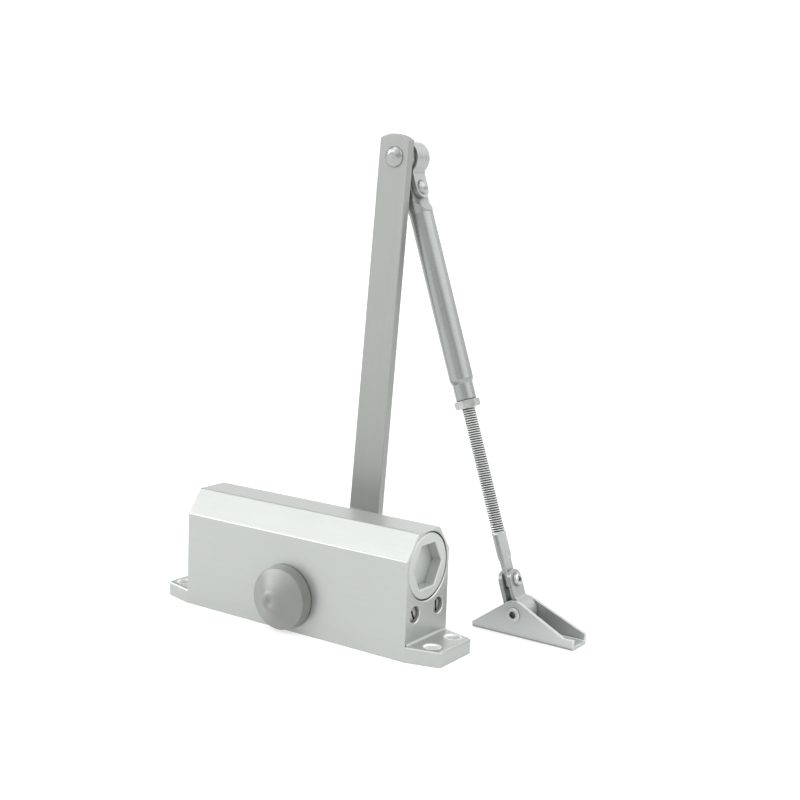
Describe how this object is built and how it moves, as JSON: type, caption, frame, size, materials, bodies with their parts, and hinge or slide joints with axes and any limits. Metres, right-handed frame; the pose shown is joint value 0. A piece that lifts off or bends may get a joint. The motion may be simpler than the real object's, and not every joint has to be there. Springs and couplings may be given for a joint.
{
  "type": "hydraulic door closer",
  "caption": "Surface-mounted hydraulic door closer: sprung rack-and-pinion body on screw-down feet, with a folding jointed arm and a pivoting shoe that pulls a door shut.",
  "frame": {"origin": "centre of the body's fixing-hole pattern, on its mounting face", "axes": "+X along the body towards the regulating screws, +Y along the spindle towards the arm, +Z away from the mounting face"},
  "size_m": [0.2189, 0.0997, 0.2574],
  "materials": {
    "body_paint": "satin silver paint",
    "plug_metal": "satin silver paint",
    "seal_rubber": "matte",
    "piston_iron": "machined",
    "spring_steel": "oiled",
    "hardened_steel": "ground",
    "gland_steel": "turned",
    "bush_bronze": "turned",
    "cap_plastic": "matte",
    "valve_steel": "zinc",
    "arm_paint": "satin silver paint",
    "strap_paint": "satin silver paint",
    "tube_paint": "satin silver paint",
    "shoe_paint": "satin silver paint",
    "zinc_steel": "bright zinc",
    "rod_steel": "zinc"
  },
  "bodies": {
    "closer": {"closer_body": "body_paint", "front_end_plug": "plug_metal", "rear_end_plug": "plug_metal", "end_plug_seals": "seal_rubber", "spindle_gland_nuts": "gland_steel", "spindle_bushes": "bush_bronze", "spindle_seals": "seal_rubber", "spindle_cap": "cap_plastic", "valve_seals": "seal_rubber", "closer_spring": "spring_steel"},
    "spindle": {"pinion_shaft": "hardened_steel", "main_arm": "arm_paint", "arm_screw": "zinc_steel", "arm_washer": "zinc_steel", "elbow_stud": "zinc_steel", "elbow_washer": "zinc_steel"},
    "piston": {"piston": "piston_iron", "check_valve_clip": "hardened_steel"},
    "check_ball": {"check_ball": "hardened_steel"},
    "sweep_valve": {"sweep_valve_screw": "valve_steel"},
    "latch_valve": {"latch_valve_screw": "valve_steel"},
    "knuckle": {"elbow_knuckle": "strap_paint", "elbow_pin": "zinc_steel"},
    "forearm": {"forearm_tube": "tube_paint"},
    "lock_nut": {"lock_nut": "zinc_steel"},
    "rod": {"adjuster_rod": "rod_steel", "rod_screw": "zinc_steel"},
    "swivel": {"shoe_swivel": "strap_paint"},
    "shoe": {"shoe_bracket": "shoe_paint", "shoe_rivet": "zinc_steel", "shoe_sleeve": "zinc_steel"}
  },
  "joints": [
    {"name": "spindle_turn", "type": "hinge", "parent": "closer", "child": "spindle", "pos_m": [-0.0028, 0, 0.01815], "axis": [0, 1, 0], "range_deg": [-90, 0], "stiffness_Nm_per_rad": 5, "springref_deg": 51.57},
    {"name": "piston_slide", "type": "slide", "parent": "closer", "child": "piston", "axis": [1, 0, 0], "range_m": [-0.019, 0], "deforming": ["closer_spring"]},
    {"name": "check_ball_lift", "type": "slide", "parent": "piston", "child": "check_ball", "axis": [1, 0, 0], "range_m": [0, 0.0012]},
    {"name": "sweep_valve_turn", "type": "hinge", "parent": "closer", "child": "sweep_valve", "pos_m": [0.07, -0.0106, 0.02215], "axis": [1, 0, 0], "range_deg": [-360, 360]},
    {"name": "latch_valve_turn", "type": "hinge", "parent": "closer", "child": "latch_valve", "pos_m": [0.07, 0.0106, 0.02215], "axis": [1, 0, 0], "range_deg": [-360, 360]},
    {"name": "elbow_swing", "type": "hinge", "parent": "spindle", "child": "knuckle", "pos_m": [0.01282, 0.0575, 0.24534], "axis": [0, 1, 0], "range_deg": [-130, 15]},
    {"name": "elbow_tilt", "type": "hinge", "parent": "knuckle", "child": "forearm", "pos_m": [0.01837, 0.0575, 0.22937], "axis": [0.9446, 0, 0.3281], "range_deg": [-5, 15]},
    {"name": "lock_nut_spin", "type": "hinge", "parent": "forearm", "child": "lock_nut", "pos_m": [0.05541, 0.0575, 0.11785], "axis": [0.3281, 0, -0.9446], "continuous": true},
    {"name": "rod_adjust", "type": "slide", "parent": "forearm", "child": "rod", "axis": [0.3281, 0, -0.9446], "range_m": [-0.024, 0.03]},
    {"name": "shoe_tilt", "type": "hinge", "parent": "rod", "child": "swivel", "pos_m": [0.08836, 0.0575, 0.02786], "axis": [0.9446, 0, 0.3281], "range_deg": [-15, 15]},
    {"name": "shoe_swing", "type": "hinge", "parent": "swivel", "child": "shoe", "pos_m": [0.09391, 0.0575, 0.0119], "axis": [0, 1, 0], "range_deg": [-70, 70]}
  ],
  "couplings": [
    {"joint": "piston_slide", "follows": "spindle_turn", "m_per_rad": 0.012}
  ]
}
